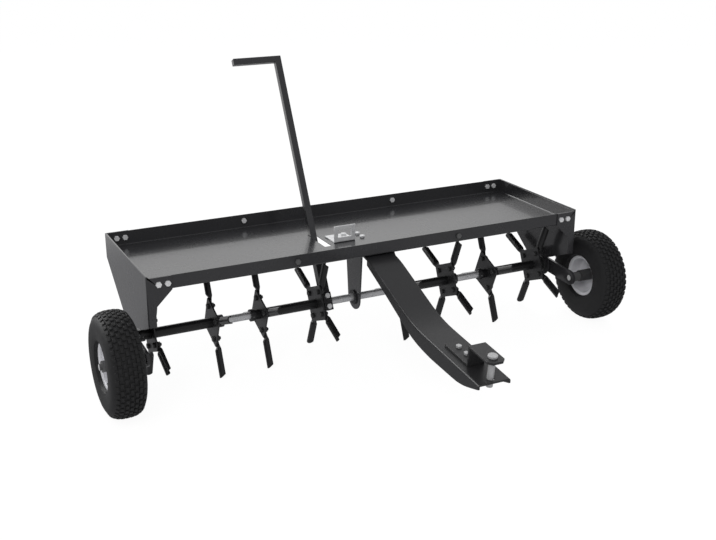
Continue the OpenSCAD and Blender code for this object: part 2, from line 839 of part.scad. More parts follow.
// Socket tube for the lever, on the rear half of the shaft clamp
module lever_socket() {
    color(black_paint) at_lever() {
        clamp_half(1);
        difference() {
            translate([-socket_out / 2, -socket_out / 2, clamp_half_h])
                cube([socket_out, socket_out, socket_top - clamp_half_h]);
            translate([-socket_in / 2, -socket_in / 2, clamp_half_h + side_clear])
                cube([socket_in, socket_in, socket_top]);
            translate([0, -socket_out / 2, lever_bolt_z]) along_y() bolt_hole(bolt_d, socket_out);
        }
    }
}
module lever_clamp() {
    color(black_paint) at_lever() clamp_half(-1);
}

// Two clamp bolts and the bolt that holds the lever in its socket, with their nuts
module lever_bolts() {
    color(zinc) at_lever() {
        for (z = [-clamp_bolt_z, clamp_bolt_z]) translate([0, -clamp_half_d, z]) along_y() {
            hex_bolt(bolt_d, 2 * clamp_half_d);
            hex_nut(bolt_d, 2 * clamp_half_d);
        }
        translate([0, -socket_out / 2, lever_bolt_z]) along_y() {
            hex_bolt(bolt_d, socket_out);
            hex_nut(bolt_d, socket_out);
        }
    }
}

// Rounded outline of a tyre's cross section, in width and radius
function rounded(half_w, up_h, low_h, mid, power, steps) = [
    for (i = [0:steps - 1])
        let (a = 360 * i / steps, c = cos(a), s = sin(a), h = s > 0 ? up_h : low_h)
            [half_w * sign(c) * pow(abs(c), 2 / power), mid + h * sign(s) * pow(abs(s), 2 / power)]
];

// Revolves a cross section drawn in width and radius about a wheel's axis
module wheel_ring(side) {
    at_axle(side, wheel_x) rotate_extrude() rotate(quarter) mirror([0, 1]) children();
}

// Hollow tyre with grooves around it and notches across its shoulders
module tyre(side) {
    groove = tyre_w * groove_w_share;
    bead = rim_w / 2 - fit_clear;
    in_w = tyre_w / 2 - tyre_wall;
    color(rubber) difference() {
        wheel_ring(side) difference() {
            polygon(rounded(tyre_w / 2, tyre_half_h, tyre_low_h, tyre_mid_r, tyre_power, tyre_steps));
            polygon(rounded(in_w, tyre_half_h - tyre_wall, tyre_low_h - tyre_wall, tyre_mid_r, tyre_power,
                tyre_steps));
            translate([tyre_wall - bead, 0]) square([2 * (bead - tyre_wall), tyre_mid_r]);
            translate([-tyre_w, 0]) square([2 * tyre_w, rim_r + fit_clear]);
            translate([bead, 0]) square([tyre_w, rim_r + rim_flange_h + fit_clear]);
            translate([-bead - tyre_w, 0]) square([tyre_w, rim_r + rim_flange_h + fit_clear]);
            for (s = [-1, 1]) translate([s * tyre_w * groove_x_share - groove / 2, wheel_r - tread_depth])
                square([groove, tread_depth + overrun]);
        }
        at_axle(side, wheel_x) for (i = [0:tread_count - 1], s = [-1, 1])
            rotate([0, 0, 360 * (i + (s > 0 ? 1 / 2 : 0)) / tread_count])
                translate([wheel_r - tread_depth, -tread_gap / 2, s > 0 ? tyre_w * notch_in_share : -tyre_w])
                    cube([tread_depth + overrun, tread_gap, tyre_w * (1 - notch_in_share)]);
    }
}

// Stamped rim: a barrel with two flanges and a dished disc around the hub
module rim(side) {
    seat = rim_r - rim_t;
    dish = rim_w * rim_dish_share;
    bore = hub_d / 2 + fit_clear;
    color(rim_grey) wheel_ring(side) polygon([
        [-rim_w / 2 - rim_t, seat],
        [-rim_w / 2 - rim_t, rim_r + rim_flange_h],
        [-rim_w / 2, rim_r + rim_flange_h],
        [-rim_w / 2, rim_r],
        [rim_w / 2, rim_r],
        [rim_w / 2, rim_r + rim_flange_h],
        [rim_w / 2 + rim_t, rim_r + rim_flange_h],
        [rim_w / 2 + rim_t, seat],
        [dish, seat],
        [dish, (seat + bore) / 2],
        [2 * dish, bore],
        [2 * dish - rim_t, bore],
        [dish - rim_t, (seat + bore) / 2],
        [dish - rim_t, seat]
    ]);
}

// Hub tube that runs on the axle
module hub(side) {
    color(zinc) at_axle(side, hub_in) difference() {
        cylinder(d = hub_d, h = hub_l);
        translate([0, 0, -overrun]) cylinder(d = axle_d + 2 * run_clear, h = hub_l + 2 * overrun);
    }
}

// Valve stem that stands on the rim's barrel and points to the hub
module valve(side) {
    color(rubber) on_side(side)
        translate([valve_x, wheel_y, wheel_r - valve_r]) {
            cylinder(d = valve_foot_d, h = valve_foot_t);
            cylinder(d = valve_d, h = valve_l - valve_cap_l);
            translate([0, 0, valve_l - valve_cap_l]) cylinder(d = valve_cap_d, h = valve_cap_l);
        }
}

module left_tyre() {
    tyre(-1);
}
module left_rim() {
    rim(-1);
}
module left_hub() {
    hub(-1);
}
module left_valve() {
    valve(-1);
}
module right_tyre() {
    tyre(1);
}
module right_rim() {
    rim(1);
}
module right_hub() {
    hub(1);
}
module right_valve() {
    valve(1);
}

// Trough of a spoon that points down, with a slanted end towards the shank
module trough() {
    half = spoon_w / 2;
    difference() {
        translate([0, 0, -tip_r]) linear_extrude(height = tip_r - trough_in_r + trough_run) difference() {
            union() {
                translate([half, 0]) circle(r = half);
                translate([half, -half]) square([spoon_depth - half, spoon_w]);
            }
            translate([half, 0]) circle(r = half - spoon_t);
            translate([half, -half + spoon_t]) square([spoon_depth, spoon_w - 2 * spoon_t]);
            translate([spoon_depth, -spoon_w]) square([spoon_w, 2 * spoon_w]);
        }
        translate([0, 0, trough_run - trough_in_r]) rotate([0, atan2(trough_run, spoon_depth), 0])
            translate([-overrun, -spoon_w, 0]) cube([tip_r, 2 * spoon_w, tip_r]);
    }
}

// A spoon that points down, with its back on the plane x = 0
module spoon() {
    difference() {
        union() {
            translate([0, -spoon_w / 2, -trough_in_r - spoon_w / 2])
                cube([spoon_t, spoon_w, trough_in_r + spoon_w / 2 - shank_in_r]);
            trough();
        }
        translate([0, 0, -tip_r]) rotate([0, -atan2(tip_cut, spoon_depth), 0])
            translate([0, -spoon_w, -tip_r]) cube([tip_r, 2 * spoon_w, tip_r]);
        translate([0, 0, -spoon_bolt_r]) along_x() bolt_hole(spoon_bolt_d, spoon_t);
    }
}

// Places of the spoons on one spoon wheel of a gang
module at_spoon_wheel(gang, end) {
    at_shaft() translate([gang_x[gang] + end * gang_pitch / 2, 0, 0])
        rotate([end * gang_lean[gang] * spoon_turn, 0, 0]) children();
}
module at_spoons(gang, end) {
    at_spoon_wheel(gang, end)
        for (i = [0:spoons_per_wheel - 1]) rotate([i * quarter, 0, 0]) children();
}

// Tube of a gang, which turns on the shaft
module gang_tube(gang) {
    color(satin_paint) at_shaft() translate([gang_x[gang] - tube_l / 2, 0, 0]) along_x() difference() {
        cylinder(d = tube_d, h = tube_l);
        translate([0, 0, -overrun]) cylinder(d = shaft_d + 2 * run_clear, h = tube_l + 2 * overrun);
    }
}

// Square plate on a gang's tube, with one spoon on each corner
module spoon_plate(gang, end) {
    color(satin_paint) difference() {
        at_spoon_wheel(gang, end) slab_x(-hub_t / 2, hub_t) intersection() {
            rotate(quarter / 2) square(hub_side, center = true);
            circle(r = hub_corner_r);
        }
        at_spoon_wheel(gang, end) translate([-hub_t / 2 - overrun, 0, 0]) along_x()
            cylinder(d = tube_d + 2 * fit_clear, h = hub_t + 2 * overrun);
        at_spoons(gang, end) translate([-hub_t / 2, 0, -spoon_bolt_r]) along_x()
            bolt_hole(spoon_bolt_d, hub_t);
    }
}
module spoons(gang) {
    color(satin_paint) for (end = [-1, 1]) at_spoons(gang, end) translate([hub_t / 2, 0, 0]) spoon();
}
module spoon_bolts(gang) {
    color(zinc) for (end = [-1, 1]) at_spoons(gang, end) translate([-hub_t / 2, 0, -spoon_bolt_r]) along_x() {
        hex_bolt(spoon_bolt_d, hub_t + spoon_t);
        hex_nut(spoon_bolt_d, hub_t + spoon_t);
    }
}

// Hitch pin that drops through the strap and the drawbar
module hitch_pin() {
    color(zinc) at_hitch(jaw_h + strap_t) {
        cylinder(d = pin_head_d, h = pin_head_h);
        translate([0, 0, -pin_l]) cylinder(d = pin_d, h = pin_l);
    }
}

place() tray_base();
place() tray_walls();
place() left_end_plate();
place() right_end_plate();
place() corner_bolts();
place() corner_nuts();
place() wall_bolts();
place() wall_nuts();
place() drawbar();
place() tray_bracket();
place() centre_hanger();
place() drawbar_bolts();
place() drawbar_nuts();
place() hitch_strap();
place() strap_bolts();
place() left_bush();
place() right_bush();
place() hanger_bush();
place() lift_shaft();
place() left_arm();
place() right_arm();
place() left_axle();
place() right_axle();
place() axle_washers();
place() axle_nuts();
place() shaft_collars();
place() collar_screws();
place() lever();
place() lever_socket();
place() lever_clamp();
place() lever_bolts();
place() left_tyre();
place() left_rim();
place() left_hub();
place() left_valve();
place() right_tyre();
place() right_rim();
place() right_hub();
place() right_valve();
for (g = [0:3]) {
    name = str("gang", g + 1);
    place() gang_tube(g);
    place() spoon_plate(g, -1);
    place() spoon_plate(g, 1);
    place() spoons(g);
    place() spoon_bolts(g);
}
place() hitch_pin();
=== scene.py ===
import bpy
import math
from mathutils import Matrix, Vector


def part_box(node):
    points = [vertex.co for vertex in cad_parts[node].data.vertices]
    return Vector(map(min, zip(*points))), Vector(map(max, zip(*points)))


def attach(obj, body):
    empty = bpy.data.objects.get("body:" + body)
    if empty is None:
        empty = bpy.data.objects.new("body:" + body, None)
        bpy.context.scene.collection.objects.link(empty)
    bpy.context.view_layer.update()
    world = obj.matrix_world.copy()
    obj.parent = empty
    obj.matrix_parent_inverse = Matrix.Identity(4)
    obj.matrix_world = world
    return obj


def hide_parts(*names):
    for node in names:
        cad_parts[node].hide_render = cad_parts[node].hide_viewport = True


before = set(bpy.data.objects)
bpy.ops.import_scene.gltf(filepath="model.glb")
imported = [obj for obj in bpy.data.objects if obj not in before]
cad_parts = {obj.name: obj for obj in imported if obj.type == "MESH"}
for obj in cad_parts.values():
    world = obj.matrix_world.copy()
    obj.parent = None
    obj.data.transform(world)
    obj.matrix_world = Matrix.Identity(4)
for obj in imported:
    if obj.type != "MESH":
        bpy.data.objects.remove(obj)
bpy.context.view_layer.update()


# Tray: one pan folded from 2 mm steel sheet and powder coated gloss black. Its four walls are bent up
# from the floor, so every fold is rounded, and the coating is smooth with a faint orange peel.
class Tone:
    # A value inside a finish: sums of tones become nodes of that finish.
    def __init__(self, tree, socket=None):
        self.tree = tree
        self.socket = socket

    def make(self, kind, settings, sockets, out=0):
        node = self.tree.nodes.new(kind)
        for name, value in settings.items():
            setattr(node, name, value)
        for key, value in sockets.items():
            if isinstance(value, Tone):
                self.tree.links.new(value.socket, node.inputs[key])
            else:
                node.inputs[key].default_value = value
        return Tone(self.tree, node.outputs[out])

    def sum_of(self, operation, first, second):
        return self.make("ShaderNodeMath", {"operation": operation}, {0: first, 1: second})

    def __add__(self, other):
        return self.sum_of("ADD", self, other)

    def __radd__(self, other):
        return self.sum_of("ADD", other, self)

    def __sub__(self, other):
        return self.sum_of("SUBTRACT", self, other)

    def __rsub__(self, other):
        return self.sum_of("SUBTRACT", other, self)

    def __mul__(self, other):
        return self.sum_of("MULTIPLY", self, other)

    def __rmul__(self, other):
        return self.sum_of("MULTIPLY", other, self)

    def between(self, low, high):
        return self.make("ShaderNodeMapRange", {"interpolation_type": "SMOOTHSTEP"},
                         {"Value": self, "From Min": low, "From Max": high})

    def axis(self, name):
        return self.make("ShaderNodeSeparateXYZ", {}, {0: self}, name)

    def colour(self, dark, light):
        return self.make("ShaderNodeMix", {"data_type": "RGBA"}, {0: self, 6: (*dark, 1), 7: (*light, 1)}, 2)

    def speckle(self, size, detail=2.0, roughness=0.5):
        return self.make("ShaderNodeTexNoise", {}, {"Vector": self, "Scale": 1 / size, "Detail": detail,
                                                    "Roughness": roughness})

    def stretched(self, x, y, z):
        return self.make("ShaderNodeMapping", {"vector_type": "POINT"}, {"Vector": self, "Scale": (x, y, z)})

    def bump(self, height, strength):
        return self.make("ShaderNodeBump", {}, {"Height": self, "Distance": height, "Strength": strength})

    def blend(self, first, second):
        return self.make("ShaderNodeMixShader", {}, {0: self, 1: first, 2: second})

    def feed(self, node, socket):
        self.tree.links.new(self.socket, node.inputs[socket])


def new_finish(name):
    finish = bpy.data.materials.new(name)
    finish.use_nodes = True
    surface = finish.node_tree.nodes["Principled BSDF"]
    place = Tone(finish.node_tree).make("ShaderNodeTexCoord", {}, {}, "Object")
    return finish, surface, place


def powder_coat(name, shade, gloss, peel_size, coat):
    finish, surface, place = new_finish(name)
    haze = place.speckle(0.19, 5.0, 0.6)
    peel = place.speckle(peel_size, 2.0)
    rubs = place.stretched(1.0, 0.12, 1.0).speckle(0.011, 4.0, 0.7).between(0.55, 0.8)
    haze.colour([0.8 * s for s in shade], [1.25 * s for s in shade]).feed(surface, "Base Color")
    (gloss + (haze - 0.5) * 0.14 + rubs * 0.03 + (peel - 0.5) * 0.04).feed(surface, "Roughness")
    (peel + rubs * 0.04).bump(0.0001, 0.3).feed(surface, "Normal")
    (coat + (haze - 0.5) * 0.2).feed(surface, "Coat Weight")
    surface.inputs["Coat Roughness"].default_value = 0.09
    surface.inputs["IOR"].default_value = 1.5
    return finish


def corners(node):
    return [Vector(corner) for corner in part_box(node)]


def near(value, target):
    return abs(value - target) < 0.0003


def only(piece):
    bpy.ops.object.select_all(action="DESELECT")
    bpy.context.view_layer.objects.active = piece
    piece.select_set(True)


def pick(piece, kind, is_wanted):
    # Selects the vertices, edges or faces of a piece that the test wants, and leaves it in edit mode.
    bpy.ops.object.mode_set(mode="EDIT")
    bpy.ops.mesh.select_mode(type=kind)
    bpy.ops.mesh.select_all(action="DESELECT")
    bpy.ops.object.mode_set(mode="OBJECT")
    spots = piece.data.vertices
    if kind == "FACE":
        for face in piece.data.polygons:
            face.select = is_wanted(face.center, face.normal)
    elif kind == "EDGE":
        for edge in piece.data.edges:
            edge.select = is_wanted(spots[edge.vertices[0]].co, spots[edge.vertices[1]].co)
    else:
        for spot in spots:
            spot.select = is_wanted(spot.co)
    bpy.ops.object.mode_set(mode="EDIT")


def round_fold(piece, is_fold, radius, steps=4):
    # Rounds the edges that the test picks by the place of their two ends.
    pick(piece, "EDGE", is_fold)
    bpy.ops.mesh.bevel(offset=radius, segments=steps, affect="EDGES", clamp_overlap=False)
    bpy.ops.object.mode_set(mode="OBJECT")


def new_block(name, lo, hi):
    # A plain block between two corners, with its place in its own mesh.
    bpy.ops.object.select_all(action="DESELECT")
    middle = (Vector(lo) + Vector(hi)) / 2
    bpy.ops.mesh.primitive_cube_add(size=1, location=middle, scale=Vector(hi) - Vector(lo))
    block = bpy.context.object
    block.name = name
    bpy.ops.object.transform_apply(location=True, rotation=True, scale=True)
    return block


def give_gauge(piece, thickness, offset=-1):
    # Gives a folded surface the thickness of its sheet.
    gauge = piece.modifiers.new("gauge", "SOLIDIFY")
    gauge.thickness = thickness
    gauge.offset = offset
    gauge.use_even_offset = True
    bpy.ops.object.modifier_apply(modifier=gauge.name)


def cut_away(piece, cutter):
    cut = piece.modifiers.new("cut", "BOOLEAN")
    cut.operation = "DIFFERENCE"
    cut.solver = "EXACT"
    cut.object = cutter
    only(piece)
    bpy.ops.object.modifier_apply(modifier=cut.name)
    bpy.data.objects.remove(cutter)


def break_edges(piece, width, steps=2, angle=35):
    # Takes the sharp edge off, as deburring and coating do.
    soft = piece.modifiers.new("broken_edges", "BEVEL")
    soft.width = width
    soft.segments = steps
    soft.limit_method = "ANGLE"
    soft.angle_limit = math.radians(angle)
    soft.use_clamp_overlap = False
    bpy.ops.object.modifier_apply(modifier=soft.name)


def smooth_faces(piece, angle=38):
    only(piece)
    bpy.ops.object.shade_smooth_by_angle(angle=math.radians(angle))
    weighted = piece.modifiers.new("flat_faces", "WEIGHTED_NORMAL")
    weighted.keep_sharp = True
    bpy.ops.object.modifier_apply(modifier=weighted.name)


def hand_over(piece, finish, body, slot, *nodes):
    piece.data.materials.append(finish)
    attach(piece, body)
    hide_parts(*nodes)


gloss_black = powder_coat("gloss_black_paint", (0.024, 0.024, 0.0258), 0.27, 0.0016, 0.45)
sheet = 0.002
tray_fold = 0.0045
tray_edge = 0.0005
rear_rise = 0.005
slot_half = 0.0097
slot_front, slot_rear = 0.1631, 0.2737
slot_reach = 0.01
tray_lo, tray_hi = corners("tray_base")[0], corners("tray_walls")[1]
lever_x = sum(corner.x for corner in corners("lever_socket")) / 2
tray = new_block("tray_pan", tray_lo, (tray_hi.x, tray_hi.y, tray_hi.z - rear_rise))
pick(tray, "FACE", lambda at, way: way.z > 0.9)
bpy.ops.mesh.delete(type="ONLY_FACE")
bpy.ops.object.mode_set(mode="OBJECT")
round_fold(tray, lambda a, b: near(a.z, tray_lo.z) and near(b.z, tray_lo.z), tray_fold, 5)
pick(tray, "VERT", lambda at: near(at.y, tray_hi.y) and near(at.z, tray_hi.z - rear_rise))
bpy.ops.transform.translate(value=(0, 0, rear_rise))
bpy.ops.object.mode_set(mode="OBJECT")
give_gauge(tray, sheet)
cut_away(tray, new_block("slot", (lever_x - slot_half, slot_front, tray_lo.z - slot_reach),
                         (lever_x + slot_half, slot_rear, tray_lo.z + slot_reach)))
break_edges(tray, tray_edge)
smooth_faces(tray)
hand_over(tray, gloss_black, "frame", "gloss_black", "tray_base", "tray_walls")


# End plates: 3 mm steel plates at the tray's two ends, cut to a nose around the shaft and folded at the
# front and the rear into the tabs that bolt to the tray's walls. Gloss black like the tray.
def pick_up(node):
    # Starts a piece from the solid's own faces, with the loose triangles merged into flat faces.
    piece = bpy.data.objects.new(node + "_made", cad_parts[node].data.copy())
    bpy.context.scene.collection.objects.link(piece)
    piece.data.materials.clear()
    only(piece)
    bpy.ops.mesh.customdata_custom_splitnormals_clear()
    bpy.ops.object.mode_set(mode="EDIT")
    bpy.ops.mesh.select_all(action="SELECT")
    bpy.ops.mesh.remove_doubles(threshold=0.00001)
    bpy.ops.mesh.dissolve_limited(angle_limit=math.radians(0.5))
    bpy.ops.mesh.normals_make_consistent(inside=False)
    bpy.ops.object.mode_set(mode="OBJECT")
    return piece


plate_t = 0.003
plate_outer_fold, plate_inner_fold = 0.004, 0.0015
plate_edge = 0.0006
least_fold = 0.01
for side, node in ((-1, "left_end_plate"), (1, "right_end_plate")):
    plate_lo, plate_hi = corners(node)
    outer = plate_lo.x if side < 0 else plate_hi.x

    def fold_at(depth):
        # Tests for an upright fold that lies this deep inside the plate's outer faces.
        def is_fold(a, b):
            on_face = all(near(end.x, outer - side * depth) for end in (a, b))
            on_front = all(near(end.y, plate_lo.y + depth) for end in (a, b))
            on_rear = all(near(end.y, plate_hi.y - depth) for end in (a, b))
            return on_face and (on_front or on_rear) and abs(a.z - b.z) > least_fold
        return is_fold

    plate = pick_up(node)
    round_fold(plate, fold_at(0), plate_outer_fold)
    round_fold(plate, fold_at(plate_t), plate_inner_fold)
    break_edges(plate, plate_edge)
    smooth_faces(plate)
    hand_over(plate, gloss_black, "frame", "gloss_black", node)


# Corner and wall bolts with their nuts: zinc plated steel, hexagon heads to the front. The corner bolts
# join each end plate's tabs to the tray's walls; the wall bolts are single ones along the long walls.
def zinc_plate(name, bright, dull):
    finish, surface, place = new_finish(name)
    cloud = place.speckle(0.013, 4.0, 0.6)
    fine = place.speckle(0.0011, 3.0)
    shadow, light = (0.6 * bright, 0.61 * bright, 0.63 * bright), (bright, bright, 0.99 * bright)
    cloud.colour(shadow, light).feed(surface, "Base Color")
    (dull + (cloud - 0.5) * 0.2 + (fine - 0.5) * 0.1).feed(surface, "Roughness")
    fine.bump(0.00006, 0.3).feed(surface, "Normal")
    surface.inputs["Metallic"].default_value = 0.35
    return finish


def dress(node, finish, body, slot, edge, steps=2):
    # A piece whose solid has its whole form: the edges are broken and the finish goes on.
    piece = pick_up(node)
    break_edges(piece, edge, steps)
    smooth_faces(piece)
    hand_over(piece, finish, body, slot, node)
    return piece


def second_finish(piece, finish, is_there):
    # Gives the faces that the test picks, by their middle and normal, another finish.
    piece.data.materials.append(finish)
    for face in piece.data.polygons:
        if is_there(face.center, face.normal):
            face.material_index = 1


bright_zinc = zinc_plate("bright_zinc", 0.95, 0.3)
soft_zinc = zinc_plate("soft_zinc", 0.6, 0.38)
# A darker copy of the zinc: painted shade for the parts that sit in shade.
shaded_zinc = zinc_plate("shaded_zinc", 0.14, 0.45)
bolt_edge = 0.0007
for node in ("corner_bolts", "corner_nuts", "wall_nuts"):
    dress(node, bright_zinc, "frame", "zinc", bolt_edge)
wall_bolts = dress("wall_bolts", bright_zinc, "frame", "zinc", bolt_edge)
# The front wall's bolts take the darker zinc: painted shade for the dim front they face.
second_finish(wall_bolts, shaded_zinc, lambda at, way: at.y < (tray_lo.y + tray_hi.y) / 2)


# Drawbar: one thick steel plate bent down from under the tray to the hitch, with a tapered flange folded
# down along each side. Satin black coating, with rounded folds that catch the light.
satin_black = powder_coat("satin_black_paint", (0.017, 0.017, 0.018), 0.4, 0.0019, 0.1)
bar_half = corners("drawbar")[1].x
tray_face = corners("left_end_plate")[0].y
bar_gauge = 0.0045
bar_fold = 0.005
bar_edge = 0.0006
bar_bend, foot_bend = 0.045, 0.03
pin_hole_r, pin_hole_l = 0.0085, 0.16
below_all = 0.2
bar_top = ((0.26, 0.297), (0.0, 0.297), (-0.235, 0.201), (-0.525, 0.166))
bar_foot = ((0.0, 0.275), (-0.099, 0.2308), (-0.235, 0.1645), (-0.310, 0.1489), (-0.455, 0.1370),
            (-0.525, 0.155))
stations = [0.26, 0.15, 0.06]
stations += [0.04 - 0.01 * step for step in range(9)]
stations += [-0.06 - 0.015 * step for step in range(31)]
stations += [-0.525]


def along(line, y):
    # Height of a line of (place, height) points at a place.
    for (y0, z0), (y1, z1) in zip(line, line[1:]):
        if y <= y0 and y >= y1:
            return z0 + (z1 - z0) * (y0 - y) / (y0 - y1)
    return line[-1][1]


def eased(line, y, reach):
    # The same line with its bends eased over a reach to both sides.
    spread = min(reach, abs(line[0][0] - y), abs(y - line[-1][0]))
    heights = [along(line, y + spread * (step / 4 - 1)) for step in range(9)]
    return sum(heights) / len(heights)


def on_side(a, b):
    # Edges along the two sides of the bar's top, in front of the tray.
    in_front = near(a.x, b.x) and max(a.y, b.y) < tray_face + 0.0003
    return in_front and all(near(end.z, eased(bar_top, end.y - tray_face, bar_bend)) for end in (a, b))


def new_strip(name, across, rows):
    # A flat grid of 2 by 2, to be laid out by its rows.
    bpy.ops.object.select_all(action="DESELECT")
    bpy.ops.mesh.primitive_grid_add(x_subdivisions=across, y_subdivisions=rows - 1, size=2, location=(0, 0, 0))
    strip = bpy.context.object
    strip.name = name
    return strip


def row_of(spot, rows):
    return rows[round((1 - spot.co.y) / 2 * (len(rows) - 1))]


def face_out():
    bpy.ops.object.mode_set(mode="EDIT")
    bpy.ops.mesh.select_all(action="SELECT")
    bpy.ops.mesh.normals_make_consistent(inside=False)
    bpy.ops.object.mode_set(mode="OBJECT")


bar = new_strip("drawbar_plate", 1, len(stations))
for spot in bar.data.vertices:
    y = row_of(spot, stations)
    spot.co = (math.copysign(bar_half, spot.co.x), tray_face + y, eased(bar_top, y, bar_bend))
pick(bar, "EDGE", on_side)
bpy.ops.mesh.extrude_edges_move(TRANSFORM_OT_translate={"value": (0, 0, -below_all)})
bpy.ops.object.mode_set(mode="OBJECT")
for spot in bar.data.vertices:
    y = spot.co.y - tray_face
    if spot.co.z < eased(bar_top, y, bar_bend) - below_all / 2:
        spot.co.z = eased(bar_foot, y, foot_bend)
round_fold(bar, on_side, bar_fold)
face_out()
give_gauge(bar, bar_gauge)
pin_lo, pin_hi = corners("hitch_pin")
nose_slope = math.atan2(bar_top[2][1] - bar_top[3][1], bar_top[2][0] - bar_top[3][0])
bpy.ops.object.select_all(action="DESELECT")
bpy.ops.mesh.primitive_cylinder_add(vertices=48, radius=pin_hole_r, depth=pin_hole_l,
                                    location=(pin_lo + pin_hi) / 2, rotation=(nose_slope, 0, 0))
cut_away(bar, bpy.context.object)
break_edges(bar, bar_edge, 2, 60)
smooth_faces(bar, 42)
hand_over(bar, satin_black, "frame", "satin_black", "drawbar")


# Tray bracket: a zinc plated steel angle with a window, bolted to the tray's floor beside the lever.
# Cut from 3 mm sheet and bent once.
bracket_lo = corners("tray_bracket")[0]
bracket_fold = 0.004
bracket_edge = 0.0005
bracket = pick_up("tray_bracket")
round_fold(bracket, lambda a, b: all(near(end.y, bracket_lo.y) and near(end.z, bracket_lo.z) for end in (a, b)),
           bracket_fold)
break_edges(bracket, bracket_edge)
smooth_faces(bracket)
hand_over(bracket, bright_zinc, "frame", "zinc", "tray_bracket")


# Centre hanger: a welded steel tee under the drawbar that carries the middle of the shaft, gloss black,
# with the four zinc plated bolts that clamp tray, drawbar and hanger together.
dress("centre_hanger", gloss_black, "frame", "gloss_black", plate_edge)
for node in ("drawbar_bolts", "drawbar_nuts"):
    dress(node, bright_zinc, "frame", "zinc", bolt_edge)


# Hitch strap: a 6 mm flat bar bent twice, so that it lies on the drawbar behind and stands above it in
# front as the upper half of the jaw. Satin black, held by two zinc plated bolts.
strap_edge = 0.0012
dress("hitch_strap", satin_black, "frame", "satin_black", strap_edge, 3)
dress("strap_bolts", soft_zinc, "frame", "zinc", bolt_edge)


# Shaft bushes: flanged sleeves of dark nylon, pressed into the end plates and the hanger. Moulded, so
# they are matt with a fine grain.
def moulded(name, dark, light, rough, grain):
    finish, surface, place = new_finish(name)
    cloud = place.speckle(0.02, 4.0)
    grit = place.speckle(grain, 3.0, 0.6)
    cloud.colour(dark, light).feed(surface, "Base Color")
    (rough + (cloud - 0.5) * 0.16 + (grit - 0.5) * 0.1).feed(surface, "Roughness")
    grit.bump(0.00015, 0.4).feed(surface, "Normal")
    return finish


dark_nylon = moulded("dark_nylon", (0.02, 0.02, 0.021), (0.035, 0.035, 0.036), 0.55, 0.0009)
bush_edge = 0.0006
for node in ("left_bush", "right_bush", "hanger_bush"):
    dress(node, dark_nylon, "frame", "nylon", bush_edge)


# Lift shaft, axles and their washers and nuts: drawn bright steel bar with fine marks around it, and zinc
# plated axles, washers and nuts in a darker zinc, painted shade for the wheels' middles, with bright zinc on
# the axles' end faces. Collars with set screws hold the gangs in place; the set screws take the same painted
# shade.
def turned_zinc(name, bright, dull):
    finish, surface, place = new_finish(name)
    cloud = place.speckle(0.03, 4.0, 0.6)
    marks = place.stretched(1.0, 0.04, 0.04).speckle(0.0007, 3.0)
    shadow, light = (0.55 * bright, 0.56 * bright, 0.58 * bright), (bright, bright, bright)
    cloud.colour(shadow, light).feed(surface, "Base Color")
    (dull + (cloud - 0.5) * 0.18 + (marks - 0.5) * 0.12).feed(surface, "Roughness")
    marks.bump(0.00005, 0.3).feed(surface, "Normal")
    surface.inputs["Metallic"].default_value = 0.7
    return finish


drawn_steel = turned_zinc("drawn_steel", 0.9, 0.28)
shaft_edge = 0.001
washer_edge = 0.0005
screw_edge = 0.0003
collar_edge = 0.0008
dress("lift_shaft", drawn_steel, "lift", "zinc", shaft_edge)
for node in ("left_axle", "right_axle"):
    # The axles in the darker zinc are painted shade; their end faces keep the bright zinc.
    axle = dress(node, shaded_zinc, "lift", "zinc", shaft_edge)
    second_finish(axle, bright_zinc, lambda at, way: abs(way.x) > 0.9)
for node in ("axle_washers", "axle_nuts"):
    dress(node, shaded_zinc, "lift", "zinc", washer_edge)
dress("collar_screws", shaded_zinc, "lift", "zinc", screw_edge)
dress("shaft_collars", satin_black, "lift", "satin_black", collar_edge)


# Crank arms: 8 mm flat steel bars with rounded ends, one outside each end plate. Each is fixed on the
# shaft's end and carries a wheel's axle at its other end. Gloss black.
arm_edge = 0.001
for node in ("left_arm", "right_arm"):
    dress(node, gloss_black, "lift", "gloss_black", arm_edge, 3)


# Lever: a square steel bar with its grip mitred and welded across the top, gloss black. It stands in a
# square socket on the rear half of a clamp block, which two bolts close around the shaft.
lever_edge = 0.0016
clamp_edge = 0.0007
dress("lever", gloss_black, "lift", "gloss_black", lever_edge, 3)
for node in ("lever_socket", "lever_clamp"):
    dress(node, gloss_black, "lift", "gloss_black", clamp_edge)
dress("lever_bolts", bright_zinc, "lift", "zinc", bolt_edge)


# Tyres: small pneumatic tyres of black rubber, moulded with seven rows of blocks around the tread, in
# step by halves from row to row, and smooth round sidewalls with two raised ribs.
rubber, rubber_surface, rubber_place = new_finish("tyre_rubber")
bloom = rubber_place.speckle(0.05, 5.0, 0.6)
pores = rubber_place.speckle(0.0012, 3.0, 0.6)
bloom.colour((0.007, 0.007, 0.0073), (0.015, 0.015, 0.0155)).feed(rubber_surface, "Base Color")
(0.62 + (bloom - 0.5) * 0.24 + (pores - 0.5) * 0.1).feed(rubber_surface, "Roughness")
(pores + bloom * 0.5).bump(0.0002, 0.4).feed(rubber_surface, "Normal")

tyre_half_w = 0.0435
tyre_mid = 0.0905
tyre_up = 0.0385
tyre_down = 0.0462
tyre_seat = 0.0523
tyre_power = 2.7
rib_rise = 0.0006
rib_steps = (3, 6)
bead_half = 0.0281
flange_r = 0.0583
wheel_steps = 72
lug_count = 44
lug_depth = 0.004
lug_root = 0.006
lug_sink = 0.0004
lug_l = 0.0128
lug_w, outer_lug_w = 0.0086, 0.01
lug_taper = 0.82
lug_edge = 0.0011
lug_rows = ((0.0, 0.0), (0.0108, 0.5), (-0.0108, 0.5), (0.0214, 0.0), (-0.0214, 0.0),
            (0.0318, 0.5), (-0.0318, 0.5))


